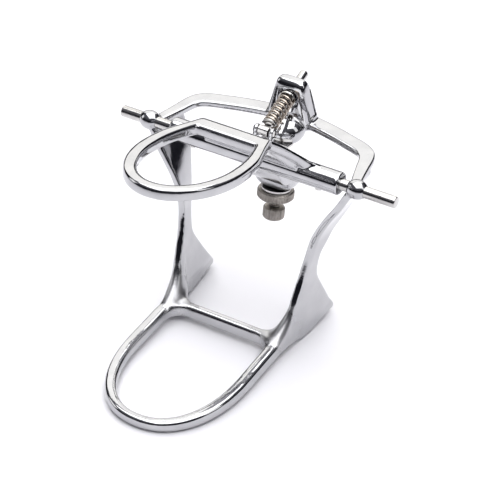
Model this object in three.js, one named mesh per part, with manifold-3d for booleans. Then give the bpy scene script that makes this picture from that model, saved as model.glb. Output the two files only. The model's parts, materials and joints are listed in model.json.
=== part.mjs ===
// Free-plane dental articulator: a wire-like lower member with two leaning uprights and a rear
// bow, and an upper member that turns and slides sideways on a cross axle.
// Millimetres. While building, X = 0 is the lower member's mid-plane, Y = 0 and Z = axleHeight
// lie on the axle, and Z = 0 is the table. The last step moves the origin to the base centre.
import * as THREE from "three";
import { mergeVertices } from "three/addons/utils/BufferGeometryUtils.js";
import Module from "manifold-3d";

const wasm = await Module();
wasm.setup();

// ---------------------------------------------------------------- driving dimensions
const seam = 0.3;                 // gap left where two solids meet
const axleHeight = 79;            // axle above the table
const axleLength = 130;
const axleRadius = 2.5;
const boreRadius = 2.56;          // running fit on the axle
const sideShift = 2.2;            // upper member's resting offset towards +X
const openAngle = 10.04 * Math.PI / 180;   // upper member's resting opening, front raised

const lowerRing = {
  halfWidth: 29.6, wall: 5.7, frontWall: 4.4, bar: 4.6, centreY: -50, front: 42.6, power: 2.2, rearY: -19.8,
  outerCorner: 6, innerCorner: 8,
};
const bossX = 49.4;               // axle bosses on the uprights
const bossHalfLength = 4.6;
const bossRadius = 4.1;

const bow = { top: 0.8, thickness: 3.4 };

const upperRing = { halfWidth: 23.4, wall: 5.7, centreY: -52, front: 34, top: 19.45, thickness: 5.4 };
const barrelHalfLength = 40;
const barrelRadius = 4.9;
const screwY = 21.3;              // height screw axis behind the axle, in the upper member's frame
const screwBoss = { halfX: 9.3, halfY: 6.6, corner: 2.6, bottom: -21.8, top: -9.4 };
const screwRadius = 2.5;
const screwTipTop = -2.9;
const stopPlateZ = -2.1;          // middle of the 1 mm plate that the screw's tip rests on
const grubScrewX = 30;
const grubHoleRadius = 1.65;

const pivot = { y: 5.5, z: 9 };   // guide pin's cross pin, in the upper member's frame
const yawOffset = 4.4;            // yaw pin ahead of the cross pin
const crossPinRadius = 1;
const lugInner = 2.5;             // lugs that hold the cross pin
const lugOuter = 3.9;
const yawPinRadius = 0.6;
const pinHoleGrowth = 0.15;       // a pin's hole is this much larger in radius
const pinRadius = 2;
const pinLength = 35;             // beyond the yaw pin
const hubEye = { y: 33.5, z: 12.05 };      // centre of the hub's eye, from the axle
const hubFace = 4.6;              // spring face ahead of the eye's centre
const eyeClearance = 0.6;
const springClearRadius = 4.3;
const spring = {
  start: 0.2, turns: 8.5, wireRadius: 0.5, coilRadius: 2.95, closedShare: 0.12, closedPitch: 0.35,
};
const knobRadius = 4.75;
const lockNutRadius = 8;
const washerRadius = 6.6;
const maxOpening = 70;            // degrees, from rest
const pitchPerOpening = 1.365;    // swivel's turn for each degree of opening
const yawPerSlide = 0.0444;       // guide pin's turn in radians for each mm of side slide
const sideTravel = [-5.4, 1];     // from rest, 3.2 each way from the mid-plane

// ---------------------------------------------------------------- solids
function toSolid(geometry) {
  const clean = geometry.clone();
  clean.deleteAttribute("normal");
  clean.deleteAttribute("uv");
  const merged = mergeVertices(clean, 1e-4);
  const mesh = new wasm.Mesh({
    numProp: 3,
    vertProperties: new Float32Array(merged.attributes.position.array),
    triVerts: new Uint32Array(merged.index.array),
  });
  return new wasm.Manifold(mesh);
}

function toGeometry(solid) {
  const mesh = solid.getMesh();
  const indexed = new THREE.BufferGeometry();
  indexed.setAttribute("position", new THREE.BufferAttribute(new Float32Array(mesh.vertProperties), 3));
  indexed.setIndex(new THREE.BufferAttribute(new Uint32Array(mesh.triVerts), 1));
  const geometry = indexed.toNonIndexed();
  geometry.computeVertexNormals();
  return geometry;
}

function union(solids) {
  return solids.reduce((sum, next) => sum.add(next));
}

// Skin over a list of equal-length rings of points; loops when closed, else capped at the ends.
function skin(rings, closed = false) {
  const count = rings[0].length;
  const positions = [];
  const put = (...points) => points.forEach((p) => positions.push(p.x, p.y, p.z));
  const bands = closed ? rings.length : rings.length - 1;
  for (let i = 0; i < bands; i += 1) {
    const near = rings[i];
    const far = rings[(i + 1) % rings.length];
    for (let j = 0; j < count; j += 1) {
      const k = (j + 1) % count;
      put(near[j], near[k], far[k]);
      put(near[j], far[k], far[j]);
    }
  }
  if (!closed) {
    for (const [ring, flip] of [[rings[0], true], [rings[rings.length - 1], false]]) {
      const middle = ring.reduce((sum, p) => sum.add(p), new THREE.Vector3()).divideScalar(count);
      for (let j = 0; j < count; j += 1) {
        const k = (j + 1) % count;
        if (flip) put(middle, ring[k], ring[j]);
        else put(middle, ring[j], ring[k]);
      }
    }
  }
  let volume = 0;
  for (let i = 0; i < positions.length; i += 9) {
    const [a, b, c] = [0, 3, 6].map((s) => new THREE.Vector3().fromArray(positions, i + s));
    volume += a.dot(b.cross(c));
  }
  if (volume < 0) {
    for (let i = 0; i < positions.length; i += 9) {
      for (let s = 0; s < 3; s += 1) {
        [positions[i + s], positions[i + 3 + s]] = [positions[i + 3 + s], positions[i + s]];
      }
    }
  }
  const geometry = new THREE.BufferGeometry();
  geometry.setAttribute("position", new THREE.Float32BufferAttribute(positions, 3));
  return toSolid(geometry);
}

function place(geometry, matrix) {
  return toSolid(geometry.applyMatrix4(matrix));
}

// Cylinder from point a to point b.
function rod(a, b, radius, segments = 24, endRadius = radius) {
  const along = b.clone().sub(a);
  const geometry = new THREE.CylinderGeometry(endRadius, radius, along.length(), segments);
  geometry.translate(0, along.length() / 2, 0);
  const turn = new THREE.Quaternion().setFromUnitVectors(new THREE.Vector3(0, 1, 0), along.normalize());
  geometry.applyQuaternion(turn);
  geometry.translate(a.x, a.y, a.z);
  return toSolid(geometry);
}

function rodX(x0, x1, y, z, radius, segments = 32) {
  const geometry = new THREE.CylinderGeometry(radius, radius, x1 - x0, segments);
  geometry.rotateZ(Math.PI / 2);
  geometry.translate((x0 + x1) / 2, y, z);
  return toSolid(geometry);
}

function box(x0, x1, y0, y1, z0, z1) {
  const geometry = new THREE.BoxGeometry(x1 - x0, y1 - y0, z1 - z0);
  geometry.translate((x0 + x1) / 2, (y0 + y1) / 2, (z0 + z1) / 2);
  return toSolid(geometry);
}

function ellipsoid(x, y, z, rx, ry, rz, wide = 20, high = 12) {
  const geometry = new THREE.SphereGeometry(1, wide, high);
  geometry.scale(rx, ry, rz);
  geometry.translate(x, y, z);
  return toSolid(geometry);
}

function turned(profile, segments = 32) {
  const points = profile.map(([radius, height]) => new THREE.Vector2(radius, height));
  const geometry = new THREE.LatheGeometry(points, segments);
  geometry.rotateX(Math.PI / 2);
  const solid = toSolid(geometry);
  return solid.volume() > 0 ? solid : toSolid(flipped(geometry));
}

function flipped(geometry) {
  const clean = geometry.clone();
  const index = clean.index.array;
  for (let i = 0; i < index.length; i += 3) {
    [index[i], index[i + 1]] = [index[i + 1], index[i]];
  }
  return clean;
}

function mirrorX(points) {
  return points.map((ring) => ring.map((p) => new THREE.Vector3(-p.x, p.y, p.z)));
}

// ---------------------------------------------------------------- frames
const upperFrame = new THREE.Matrix4()
  .makeTranslation(sideShift, 0, axleHeight)
  .multiply(new THREE.Matrix4().makeRotationX(-openAngle));

// Where the cross pin stands when the upper member has opened by so many degrees.
function pivotAt(degrees, x = sideShift) {
  const turn = openAngle + degrees * Math.PI / 180;
  const y = pivot.y * Math.cos(turn) + pivot.z * Math.sin(turn);
  const z = -pivot.y * Math.sin(turn) + pivot.z * Math.cos(turn);
  return new THREE.Vector3(x, y, z + axleHeight);
}

const eye = new THREE.Vector3(0, hubEye.y, hubEye.z + axleHeight);
const crossPoint = pivotAt(0);
const pitch = Math.atan2(eye.z - crossPoint.z, eye.y - crossPoint.y);
const swivelFrame = new THREE.Matrix4()
  .makeTranslation(crossPoint.x, crossPoint.y, crossPoint.z)
  .multiply(new THREE.Matrix4().makeRotationX(pitch));
const yawPoint = new THREE.Vector3(0, yawOffset, 0).applyMatrix4(swivelFrame);
const reach = eye.clone().sub(yawPoint);
const yaw = Math.asin(-reach.x / reach.length());
const pinFrame = swivelFrame.clone()
  .multiply(new THREE.Matrix4().makeTranslation(0, yawOffset, 0))
  .multiply(new THREE.Matrix4().makeRotationZ(yaw));
const eyeDistance = reach.length();

// Start and direction of the guide pin for an opening in degrees and a side position.
function pinLine(degrees, x) {
  const turn = pitch + (pitchPerOpening - 1) * degrees * Math.PI / 180;
  const swing = yaw + yawPerSlide * (x - sideShift);
  const ahead = new THREE.Vector3(0, Math.cos(turn), Math.sin(turn));
  const start = pivotAt(degrees, x).addScaledVector(ahead, yawOffset);
  const direction = ahead.clone().multiplyScalar(Math.cos(swing));
  direction.x = -Math.sin(swing);
  return { start, direction };
}

// ---------------------------------------------------------------- lower member
// Ring top and underside, as heights above the table at a distance y from the axle.
const ringTop = (y) => axleHeight - 72.4 + 0.05 * (y + 60);
const ringUnder = (y) => -0.35 + 0.03 * (y + 92);

// Outline with a rounded front, straight sides and two round rear corners.
function ringOutline(halfWidth, front, rearY, cornerRadius) {
  const { power, centreY } = lowerRing;
  const points = [];
  const frontSteps = 22;
  for (let i = 0; i <= frontSteps; i += 1) {
    const angle = Math.PI * i / frontSteps;
    const c = Math.cos(angle);
    const s = Math.sin(angle);
    const x = halfWidth * Math.sign(c) * Math.abs(c) ** (2 / power);
    points.push([x, centreY - front * Math.abs(s) ** (2 / power)]);
  }
  const cornerSteps = 5;
  for (const side of [-1, 1]) {
    for (let i = 0; i <= cornerSteps; i += 1) {
      const angle = Math.PI / 2 * (side < 0 ? i : cornerSteps - i) / cornerSteps;
      const x = side * (halfWidth - cornerRadius + cornerRadius * Math.cos(angle));
      points.push([x, rearY - cornerRadius + cornerRadius * Math.sin(angle)]);
    }
  }
  return points;
}

function lowerRingSolid(grow) {
  const { halfWidth, wall, frontWall, bar, front, rearY, outerCorner, innerCorner } = lowerRing;
  const outer = ringOutline(halfWidth + grow, front + grow, rearY + grow, outerCorner);
  const inner = ringOutline(
    halfWidth - wall - grow, front - frontWall - grow, rearY - bar - grow, innerCorner);
  const rings = outer.map(([ox, oy], i) => {
    const [ix, iy] = inner[i];
    const edge = grow > 0 ? 0 : 1.3;
    const at = (t, face, inset) => {
      const y = oy + (iy - oy) * t;
      const z = face > 0 ? ringTop(y) + grow - inset : ringUnder(y) - grow + inset;
      return new THREE.Vector3(ox + (ix - ox) * t, y, z);
    };
    return [
      at(0.04, -1, 0), at(0, -1, edge + 0.4), at(0, 1, edge), at(0.22, 1, 0),
      at(0.78, 1, 0), at(1, 1, edge), at(1, -1, edge + 0.4), at(0.96, -1, 0),
    ];
  });
  return skin(rings, true);
}

// Upright and fin as rows of front and rear edge points: height above the table, front and rear
// distance from the axle, outer face at the front and at the rear, and plate thickness.
const uprightRows = [
  { z: 3, front: -25.5, rear: 15.6, outFront: 29.9, outRear: 32.4, thick: 4.2, foot: true },
  { z: 3.4, front: -25.2, rear: 16.4, outFront: 29.9, outRear: 32.4, thick: 4.2 },
  { z: 4.8, front: -24.7, rear: 15.6, outFront: 29.9, outRear: 32.4, thick: 4.2 },
  { z: 6.5, front: -24.0, rear: 13.9, outFront: 30.0, outRear: 32.4, thick: 4.4 },
  { z: 9.5, front: -22.0, rear: 11.5, outFront: 30.1, outRear: 32.5, thick: 5.0 },
  { z: 15, front: -17.8, rear: 8.3, outFront: 30.1, outRear: 32.5, thick: 4.0 },
  { z: 21, front: -14.8, rear: 4.8, outFront: 30.4, outRear: 32.6, thick: 3.7 },
  { z: 27, front: -12.1, rear: 1.4, outFront: 30.9, outRear: 32.6, thick: 3.6 },
  { z: 31, front: -10.2, rear: 0.0, outFront: 31.3, outRear: 32.6, thick: 3.6 },
  { z: 36, front: -8.3, rear: 0.1, outFront: 31.9, outRear: 32.9, thick: 3.6 },
  { z: 41, front: -6.6, rear: 1.4, outFront: 32.6, outRear: 33.6, thick: 3.6 },
  { z: 46, front: -5.6, rear: 4.0, outFront: 33.4, outRear: 35.1, thick: 3.6 },
  { z: 51, front: -5.1, rear: 6.6, outFront: 34.7, outRear: 36.5, thick: 3.6 },
  { z: 57, front: -4.7, rear: 10.8, outFront: 37.4, outRear: 39.2, thick: 3.6 },
  { z: 63, front: -4.6, rear: 14.6, outFront: 40.8, outRear: 41.8, thick: 3.6 },
  { z: 69, front: -4.2, rear: 16.6, outFront: 44.6, outRear: 44.4, thick: 3.6 },
  { z: 76.1, front: -3.6, rear: 17.4, outFront: 48.6, outRear: 47.0, thick: 3.4 },
];

// Columns across the plate, and how far each hangs below the lowest row to make the fin's foot.
const plateColumns = [0, 0.35, 0.485, 0.56, 0.78, 1];
const footDrop = [0, 0, 3, 3, 1.8, 0.9];

function uprightSolid(side) {
  const rings = uprightRows.map((row) => {
    const at = (t, depth, lift = 0) => {
      const x = row.outFront + (row.outRear - row.outFront) * t - row.thick * depth;
      const inset = 1.1 * (t === 0 && depth !== 0.5 ? 1 : 0);
      const y = row.front + (row.rear - row.front) * t + inset;
      return new THREE.Vector3(x, y, row.z + lift);
    };
    const drop = (t) => (row.foot ? -footDrop[plateColumns.indexOf(t)] : 0);
    const outer = plateColumns.map((t) => at(t, 0, drop(t)));
    const inner = [...plateColumns].reverse().map((t) => at(t, 1, drop(t)));
    return [...outer, ...inner, at(0, 0.5)];
  });
  const plate = skin(side < 0 ? mirrorX(rings) : rings);
  const boss = ellipsoid(side * bossX, 0, axleHeight, bossHalfLength + 1.4, bossRadius, bossRadius)
    .intersect(box(side * bossX - bossHalfLength, side * bossX + bossHalfLength, -9, 9, 60, 90));
  const bore = rodX(side * bossX - 12, side * bossX + 12, 0, axleHeight, boreRadius);
  return plate.add(boss).subtract(bore).subtract(lowerRingSolid(seam));
}

// Rear bow: a flat band from boss to boss, given by its half outline as [x, y, half width].
const bowLine = [
  [47.4, 1.5, 2.4], [45.6, 8, 2.6], [43.8, 15, 3.0], [42.9, 19, 3.2], [41.9, 22, 3.4],
  [40.3, 24.5, 3.7], [38, 26.2, 3.8], [35, 27.5, 3.9], [31, 28.7, 3.9], [22, 31.3, 3.9],
  [11, 33.6, 3.9], [0, 34.6, 3.9],
];

function bowSolid(grow) {
  const half = bowLine.map(([x, y, w]) => ({ x, y, w: w + grow }));
  const whole = [...half, ...half.slice(0, -1).reverse().map((p) => ({ ...p, x: -p.x }))];
  const top = axleHeight + bow.top + grow;
  const under = top - bow.thickness - 2 * grow;
  const rings = whole.map((p, i) => {
    const before = whole[Math.max(i - 1, 0)];
    const after = whole[Math.min(i + 1, whole.length - 1)];
    const along = new THREE.Vector2(after.x - before.x, after.y - before.y).normalize();
    const at = (w, z) => new THREE.Vector3(p.x - along.y * w, p.y + along.x * w, z);
    const edge = grow > 0 ? 0 : 0.7;
    return [
      at(-p.w, under), at(-p.w, top - edge), at(-p.w + edge, top),
      at(p.w - edge, top), at(p.w, top - edge), at(p.w, under),
    ];
  });
  return skin(rings);
}

function bossClearance(side) {
  const reachX = bossHalfLength + 1.4 + seam;
  const radius = bossRadius + seam;
  return ellipsoid(side * bossX, 0, axleHeight, reachX, radius, radius);
}

// Tower levels: height from the axle, half width, front and rear.
const hubLevels = [
  [-3, 11.6, 29.6, 38.4], [2, 10.8, 29.3, 38.3], [9, 8.9, 29.4, 38],
  [15, 7.3, 29.8, 37.2], [17.6, 6.2, 30.8, 36], [18.6, 4.6, 32, 35],
];

// Hub: a tapered tower on the bow with a rounded body under the spring. Its eye is a slot that
// clears the guide pin in every pose, and its underside is cut flat for the stop plate.
function hubSolid() {
  const cut = 1.6;
  const tower = skin(hubLevels.map(([z, halfX, y0, y1]) => [
    [-halfX + cut, y0], [halfX - cut, y0], [halfX, y0 + cut], [halfX, y1 - cut],
    [halfX - cut, y1], [-halfX + cut, y1], [-halfX, y1 - cut], [-halfX, y0 + cut],
  ].map(([x, y]) => new THREE.Vector3(x, y, axleHeight + z))));
  const body = ellipsoid(0, 28.3, axleHeight - 3.5, 8.6, 8.2, 6.6);
  const stopFlat = place(new THREE.BoxGeometry(30, 14, 12).translate(-sideShift, 17.6, -7.3), upperFrame);
  let hub = tower.add(body).subtract(stopFlat).subtract(bowSolid(seam));
  for (let degrees = 0; degrees <= maxOpening; degrees += 14) {
    for (const x of [sideShift + sideTravel[0], 0, sideShift + sideTravel[1]]) {
      const { start, direction } = pinLine(degrees, x);
      const face = start.clone().addScaledVector(direction, eyeDistance - hubFace);
      const beyond = start.clone().addScaledVector(direction, eyeDistance + 14);
      hub = hub.subtract(rod(start, beyond, pinRadius + eyeClearance, 10));
      hub = hub.subtract(rod(start, face, springClearRadius, 14));
    }
  }
  return hub;
}

const stopPlate = place(
  new THREE.BoxGeometry(13.6, 5, 1).translate(-sideShift, screwY, stopPlateZ), upperFrame);

// ---------------------------------------------------------------- upper member
const upperUnder = upperRing.top - upperRing.thickness;

function upperRingSolid(grow) {
  const { halfWidth, wall, centreY, front, top } = upperRing;
  const side = [[23.2, -46], [22.3, -39], [20.4, -32.5], [18.4, -26.5], [16.8, -21], [15.9, -18]];
  const innerSide = [[17.6, -46], [16.9, -40], [15.6, -34], [14.2, -29], [13.4, -27], [13.2, -26.8]];
  const outer = [];
  const inner = [];
  const steps = 22;
  for (let i = 0; i <= steps; i += 1) {
    const angle = Math.PI * i / steps;
    outer.push([halfWidth * Math.cos(angle), centreY - front * Math.sin(angle)]);
    inner.push([(halfWidth - wall) * Math.cos(angle), centreY - (front - wall) * Math.sin(angle)]);
  }
  for (const point of side) outer.push([-point[0], point[1]]);
  for (const point of [...side].reverse()) outer.push(point);
  for (const point of innerSide) inner.push([-point[0], point[1]]);
  for (const point of [...innerSide].reverse()) inner.push(point);
  const rings = outer.map(([ox, oy], i) => {
    const [ix, iy] = inner[i];
    const length = Math.hypot(ix - ox, iy - oy);
    const at = (t, z) => {
      const s = t + (t - 0.5) * 2 * grow / length;
      return new THREE.Vector3(ox + (ix - ox) * s, oy + (iy - oy) * s, z);
    };
    const edge = grow > 0 ? 0 : 1;
    const high = top + grow;
    const low = upperUnder - grow;
    return [
      at(0.12, low), at(0, low + edge + 0.6), at(0, high - edge), at(0.16, high),
      at(0.84, high), at(1, high - edge), at(1, low + edge + 0.6), at(0.88, low),
    ];
  });
  return skin(rings, true);
}

// Recessed web and its two edge ribs, from the crossbar down to the barrel.
function bridgeSolid() {
  const slab = (halfTop, halfLow, thick) => {
    const rows = [
      { y: -21.5, z: upperUnder + 4.2, half: halfTop },
      { y: -17.5, z: upperUnder + 1.4, half: halfTop + 1 },
      { y: -8, z: 6.5, half: (halfTop + halfLow) / 2 + 1 },
      { y: 0, z: 1.5, half: halfLow },
    ];
    return skin(rows.map(({ y, z, half }) => [
      [-half, y - thick / 2, z - thick / 2], [half, y - thick / 2, z - thick / 2],
      [half, y + thick / 2, z + thick / 2], [-half, y + thick / 2, z + thick / 2],
    ].map((p) => new THREE.Vector3(...p))));
  };
  const web = slab(14.2, 24, 2.6);
  const ribs = [-1, 1].map((side) => {
    const rows = [[15.2, -19.4, 16.4, 2.6], [17.6, -14, 13.6, 2.4], [22, -6.5, 7.4, 2.6], [27, 0, 0.6, 3.4]];
    return skin(rows.map(([x, y, z, r]) => {
      const ring = [];
      for (let i = 0; i < 8; i += 1) {
        const angle = 2 * Math.PI * i / 8;
        ring.push(new THREE.Vector3(side * x + r * Math.cos(angle) * 0.8, y, z + r * Math.sin(angle)));
      }
      return ring;
    }));
  });
  return union([web, ...ribs])
    .subtract(rodX(-60, 60, 0, 0, barrelRadius + seam, 28))
    .subtract(upperRingSolid(seam));
}

// Block with cut corners for the height screw, and the neck that joins it to the barrel's underside.
function screwBossSolid() {
  const { halfX, halfY, corner, bottom, top } = screwBoss;
  const neck = skin([
    [-3.4, -3, 11], [-4.0, 0.5, 11], [-6.6, 5.5, 10.4],
    [-9.5, 10, 9.6], [-10.5, 14, 9.2], [-10.5, screwY, 8.8],
  ].map(([z, y, half]) => [
    [-half, y, z - 6], [half, y, z - 6], [half, y, z], [-half, y, z],
  ].map((p) => new THREE.Vector3(...p))));
  const block = skin([bottom, top].map((z) => [
    [corner - halfX, -halfY], [halfX - corner, -halfY], [halfX, corner - halfY], [halfX, halfY - corner],
    [halfX - corner, halfY], [corner - halfX, halfY], [-halfX, halfY - corner], [-halfX, corner - halfY],
  ].map(([x, y]) => new THREE.Vector3(x, screwY + y, z))));
  const screwHoleEnd = new THREE.Vector3(0, screwY, 0);
  return block.add(neck)
    .subtract(rod(new THREE.Vector3(0, screwY, -30), screwHoleEnd, screwRadius + 0.1, 24))
    .subtract(rodX(-60, 60, 0, 0, barrelRadius + seam, 28));
}

function barrelSolid() {
  return rodX(-barrelHalfLength, barrelHalfLength, 0, 0, barrelRadius, 28)
    .subtract(rodX(-60, 60, 0, 0, boreRadius, 32))
    .subtract(grubHole(-grubScrewX))
    .subtract(grubHole(grubScrewX));
}

// Lug behind the barrel that holds one end of the cross pin: rows of height, middle and half depth.
const lugRows = [
  [1.2, 2.8, 3.1], [3.2, 4.6, 2.9], [pivot.z - 1, pivot.y, 2.3], [pivot.z + 1.3, pivot.y, 1.9],
  [pivot.z + 2.3, pivot.y, 0.8],
];

function lugSolid(side) {
  const lug = skin(lugRows.map(([z, y, half]) => [
    [lugInner, y - half, z], [lugOuter, y - half, z], [lugOuter, y + half, z], [lugInner, y + half, z],
  ].map(([x, py, pz]) => new THREE.Vector3(side * x, py, pz))));
  return lug
    .subtract(rodX(-6, 6, 0, 0, barrelRadius + seam, 28))
    .subtract(rodX(-6, 6, pivot.y, pivot.z, crossPinRadius + pinHoleGrowth, 16));
}

function grubHole(x) {
  return rod(new THREE.Vector3(x, 0, -1), new THREE.Vector3(x, 0, -9), grubHoleRadius, 12);
}

function grubScrew(x) {
  return rod(new THREE.Vector3(x, 0, -2.9), new THREE.Vector3(x, 0, -5.6), grubHoleRadius - seam, 12);
}

// ---------------------------------------------------------------- screw, knob and lock nut
function knurled(radius, z0, z1, teeth, depth, hole) {
  const shape = new THREE.Shape();
  for (let i = 0; i < teeth * 2; i += 1) {
    const angle = Math.PI * i / teeth;
    const r = i % 2 === 0 ? radius : radius - depth;
    if (i === 0) shape.moveTo(r, 0);
    else shape.lineTo(r * Math.cos(angle), r * Math.sin(angle));
  }
  shape.closePath();
  const geometry = new THREE.ExtrudeGeometry(shape, { depth: z1 - z0, bevelEnabled: false });
  const chamfered = turned([[0, z0], [radius - 0.8, z0], [radius + 0.02, z0 + 0.8], [radius + 0.02, z1 - 0.8],
    [radius - 0.8, z1], [0, z1]], 36);
  let solid = toSolid(geometry.translate(0, 0, z0)).intersect(chamfered);
  if (hole > 0) {
    solid = solid.subtract(rod(new THREE.Vector3(0, 0, z0 - 1), new THREE.Vector3(0, 0, z1 + 1), hole, 24));
  }
  return solid;
}

function onScrew(solid) {
  const moved = toGeometry(solid).translate(0, screwY, 0);
  return place(moved, upperFrame);
}

const knobTop = -31.4;
const knobBottom = -37.2;
const setScrewZ = -34.6;
const heightScrew = turned([[0, knobBottom + 0.7], [1.9, knobBottom + 0.7], [1.9, knobTop + 0.3],
  [screwRadius, knobTop + 0.3], [screwRadius, screwTipTop - 1.1], [1.5, screwTipTop - 0.25],
  [0, screwTipTop]], 24);
const knobBore = rod(
  new THREE.Vector3(0, 0, knobBottom - 0.5), new THREE.Vector3(0, 0, knobTop + 1), 2.1, 24);
const setScrewHole = rodX(1.5, 6, 0, setScrewZ, 1.1, 12);
const knob = knurled(knobRadius, knobBottom, knobTop, 22, 0.25, 0).subtract(knobBore).subtract(setScrewHole);
const setScrew = rodX(2.2, 4.3, 0, setScrewZ, 0.8, 12);
const lockNut = knurled(lockNutRadius, -27.5, -23.1, 36, 0.3, screwRadius + 0.25);
const washerHole = screwRadius + 0.3;
const lockWasher = turned([[washerHole, -22.9], [washerRadius, -22.9], [washerRadius, -22.1],
  [washerHole, -22.1], [washerHole, -22.9]]);

// ---------------------------------------------------------------- guide pin group
const crossPin = turned([[0, -4.3], [1.2, -4.3], [1.6, -4.2], [1.6, -4.15], [crossPinRadius, -4.1],
  [crossPinRadius, 4.1], [1.6, 4.15], [1.6, 4.2], [1.2, 4.3], [0, 4.3]], 16);
const crossPinMatrix = upperFrame.clone()
  .multiply(new THREE.Matrix4().makeTranslation(0, pivot.y, pivot.z))
  .multiply(new THREE.Matrix4().makeRotationY(Math.PI / 2));

function yawHole(y) {
  return rod(new THREE.Vector3(0, y, -5), new THREE.Vector3(0, y, 5), yawPinRadius + pinHoleGrowth, 12);
}

const swivelEye = rodX(-2.2, 2.2, 0, 0, 2.2, 24)
  .add(box(-1.4, 1.4, 0.5, yawOffset + 1.3, -0.8, 0.8))
  .subtract(rodX(-4, 4, 0, 0, crossPinRadius + pinHoleGrowth, 16))
  .subtract(yawHole(yawOffset));

const pinShaft = rod(new THREE.Vector3(0, -1.3, 0), new THREE.Vector3(0, pinLength - 0.8, 0), pinRadius, 24)
  .add(rod(new THREE.Vector3(0, pinLength - 0.8, 0), new THREE.Vector3(0, pinLength, 0), pinRadius, 24, 1.3));
const pinFlange = rod(new THREE.Vector3(0, -1, 0), new THREE.Vector3(0, -0.1, 0), 3.6, 24);
const guidePin = pinShaft.add(pinFlange)
  .subtract(box(-5, 5, -3, 2.4, -1.05, 1.05))
  .subtract(yawHole(0));
const yawPin = rod(new THREE.Vector3(0, 0, -1.9), new THREE.Vector3(0, 0, 1.9), yawPinRadius, 12);

const springEnd = eyeDistance - hubFace - 1.4;

// Helix whose end turns lie close together.
class Coil extends THREE.Curve {
  getPoint(t) {
    const { start, turns, wireRadius, coilRadius, closedShare, closedPitch } = spring;
    const openPitch = (1 - 2 * closedPitch * closedShare) / (1 - 2 * closedShare);
    let share = closedPitch * closedShare + (t - closedShare) * openPitch;
    if (t < closedShare) share = t * closedPitch;
    if (t > 1 - closedShare) share = 1 - (1 - t) * closedPitch;
    const angle = 2 * Math.PI * turns * t;
    const along = start + wireRadius + (springEnd - start - 2 * wireRadius) * share;
    return new THREE.Vector3(coilRadius * Math.cos(angle), along, coilRadius * Math.sin(angle));
  }
}

function springSolid() {
  const coil = new Coil();
  const steps = 110;
  const rings = [];
  for (let i = 0; i <= steps; i += 1) {
    const t = i / steps;
    const centre = coil.getPoint(t);
    const outward = new THREE.Vector3(centre.x, 0, centre.z).normalize();
    const ring = [];
    for (let j = 0; j < 5; j += 1) {
      const angle = 2 * Math.PI * j / 5;
      const offset = outward.clone().multiplyScalar(spring.wireRadius * Math.cos(angle));
      offset.y = spring.wireRadius * Math.sin(angle);
      ring.push(centre.clone().add(offset));
    }
    rings.push(ring);
  }
  return skin(rings);
}

const springWasher = rod(
  new THREE.Vector3(0, springEnd + 0.2, 0), new THREE.Vector3(0, springEnd + 1, 0), 3.9, 24)
  .subtract(rod(new THREE.Vector3(), new THREE.Vector3(0, 40, 0), pinRadius + 0.25, 24));

// ---------------------------------------------------------------- assembly
const finishes = {
  chrome: { color: 0xdcdce0, roughness: 0.12, metalness: 1 },
  steel: { color: 0xc9c7c2, roughness: 0.28, metalness: 1 },
  spring: { color: 0xb9a893, roughness: 0.3, metalness: 1 },
  nickel: { color: 0x8d877e, roughness: 0.42, metalness: 1 },
};

const group = new THREE.Group();
group.name = "dental_articulator";

function addPart(name, solid, finish) {
  const mesh = new THREE.Mesh(toGeometry(solid), new THREE.MeshStandardMaterial(finishes[finish]));
  mesh.name = name;
  group.add(mesh);
}

function moved(solid, matrix) {
  return place(toGeometry(solid), matrix);
}

const tableCut = box(-80, 80, -120, 60, -10, 0);
addPart("lower_ring", lowerRingSolid(0).subtract(tableCut), "chrome");
addPart("upright_left", uprightSolid(-1), "chrome");
addPart("upright_right", uprightSolid(1), "chrome");
addPart("rear_bow", bowSolid(0).subtract(bossClearance(-1)).subtract(bossClearance(1)), "chrome");
addPart("bow_hub", hubSolid(), "chrome");
addPart("stop_plate", stopPlate, "steel");
const axleEnds = [sideShift - axleLength / 2, sideShift + axleLength / 2];
addPart("axle_rod", rodX(...axleEnds, 0, axleHeight, axleRadius), "steel");
addPart("upper_ring", moved(upperRingSolid(0), upperFrame), "chrome");
addPart("hinge_bridge", moved(bridgeSolid(), upperFrame), "chrome");
addPart("hinge_barrel", moved(barrelSolid(), upperFrame), "chrome");
addPart("screw_boss", moved(screwBossSolid(), upperFrame), "chrome");
addPart("pin_lug_left", moved(lugSolid(-1), upperFrame), "chrome");
addPart("pin_lug_right", moved(lugSolid(1), upperFrame), "chrome");
addPart("grub_screw_left", moved(grubScrew(-grubScrewX), upperFrame), "steel");
addPart("grub_screw_right", moved(grubScrew(grubScrewX), upperFrame), "steel");
addPart("cross_pin", moved(crossPin, crossPinMatrix), "steel");
addPart("swivel_eye", moved(swivelEye, swivelFrame), "steel");
addPart("yaw_pin", moved(yawPin, pinFrame), "steel");
addPart("guide_pin", moved(guidePin, pinFrame), "steel");
addPart("return_spring", moved(springSolid(), pinFrame), "spring");
addPart("spring_washer", moved(springWasher, pinFrame), "steel");
addPart("height_screw", onScrew(heightScrew), "nickel");
addPart("screw_knob", onScrew(knob), "nickel");
addPart("knob_set_screw", onScrew(setScrew), "steel");
addPart("lock_nut", onScrew(lockNut), "nickel");
addPart("lock_washer", onScrew(lockWasher), "steel");

const bounds = new THREE.Box3().setFromObject(group);
const centre = bounds.getCenter(new THREE.Vector3());
for (const mesh of group.children) {
  mesh.geometry.translate(-centre.x, -centre.y, -bounds.min.z);
}

export default group;
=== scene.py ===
import json
import math

import bmesh
import bpy
import numpy as np
from mathutils import Matrix, Vector


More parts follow.
